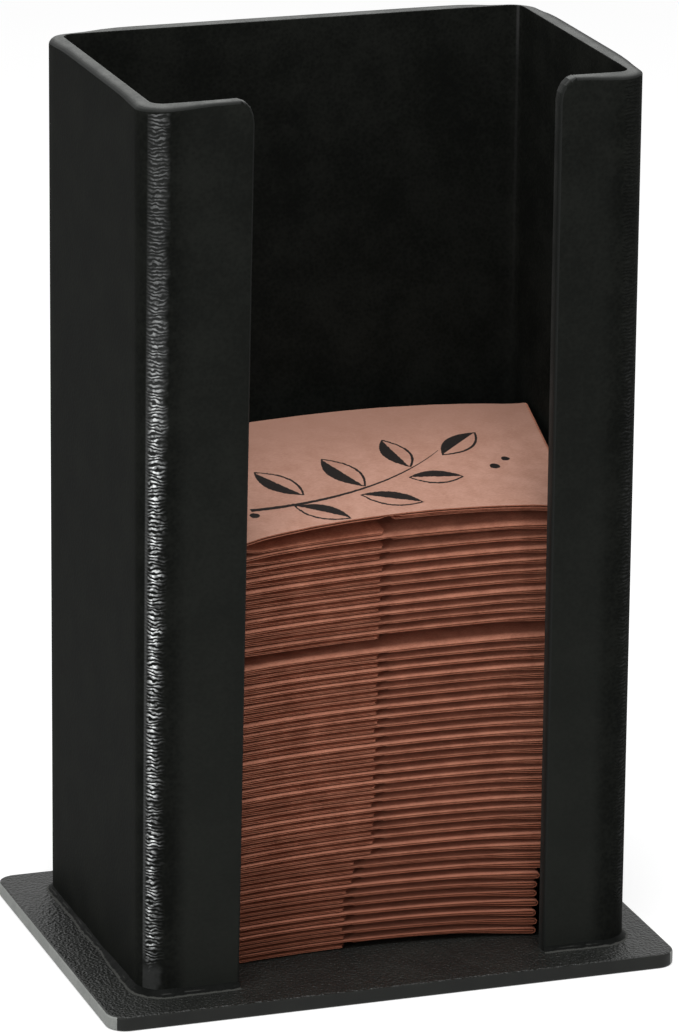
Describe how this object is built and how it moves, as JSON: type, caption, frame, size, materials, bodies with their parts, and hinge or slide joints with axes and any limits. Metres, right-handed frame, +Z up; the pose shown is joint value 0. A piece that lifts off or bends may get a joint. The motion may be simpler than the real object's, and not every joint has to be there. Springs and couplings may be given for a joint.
{
  "type": "cup sleeve dispenser",
  "caption": "Open-topped holder of bent black plastic sheet on a flat base, with a stack of folded corrugated cup sleeves that lift out through the top.",
  "frame": {"origin": "underside of the base plate, at the middle of its rectangle", "axes": "+Z up, +Y to the closed back, +X to the right as seen from the open front"},
  "size_m": [0.176, 0.123, 0.27],
  "materials": {
    "wall": "satin black with a fine pebbled grain",
    "plate": "satin black with a coarser pebbled grain",
    "bead": "smooth dried solvent cement",
    "kraft": "uncoated corrugated kraft paper"
  },
  "bodies": {
    "holder": {"holder_wall": "wall", "base_plate": "plate", "foot_bead": "bead"},
    "lower_bundle": {"sleeve_01": "kraft", "sleeve_02": "kraft", "sleeve_03": "kraft", "sleeve_04": "kraft", "sleeve_05": "kraft", "sleeve_06": "kraft", "sleeve_07": "kraft", "sleeve_08": "kraft", "sleeve_09": "kraft", "sleeve_10": "kraft", "sleeve_11": "kraft", "sleeve_12": "kraft", "sleeve_13": "kraft", "sleeve_14": "kraft", "sleeve_15": "kraft", "sleeve_16": "kraft", "sleeve_17": "kraft", "sleeve_18": "kraft", "sleeve_19": "kraft", "sleeve_20": "kraft", "sleeve_21": "kraft", "sleeve_22": "kraft", "sleeve_23": "kraft", "sleeve_24": "kraft", "sleeve_25": "kraft", "sleeve_26": "kraft", "sleeve_27": "kraft", "sleeve_28": "kraft", "sleeve_29": "kraft", "sleeve_30": "kraft", "sleeve_31": "kraft", "sleeve_32": "kraft", "sleeve_33": "kraft"},
    "upper_bundle": {"sleeve_34": "kraft", "sleeve_35": "kraft", "sleeve_36": "kraft", "sleeve_37": "kraft", "sleeve_38": "kraft", "sleeve_39": "kraft", "sleeve_40": "kraft", "sleeve_41": "kraft", "sleeve_42": "kraft", "sleeve_43": "kraft"},
    "top_sleeve": {"sleeve_44": "kraft"}
  },
  "joints": [
    {"name": "lower_lift", "type": "slide", "parent": "holder", "child": "lower_bundle", "axis": [0, 0, 1], "range_m": [0, 0.275]},
    {"name": "upper_lift", "type": "slide", "parent": "lower_bundle", "child": "upper_bundle", "axis": [0, 0, 1], "range_m": [0, 0.18]},
    {"name": "top_lift", "type": "slide", "parent": "upper_bundle", "child": "top_sleeve", "axis": [0, 0, 1], "range_m": [0, 0.145]}
  ]
}
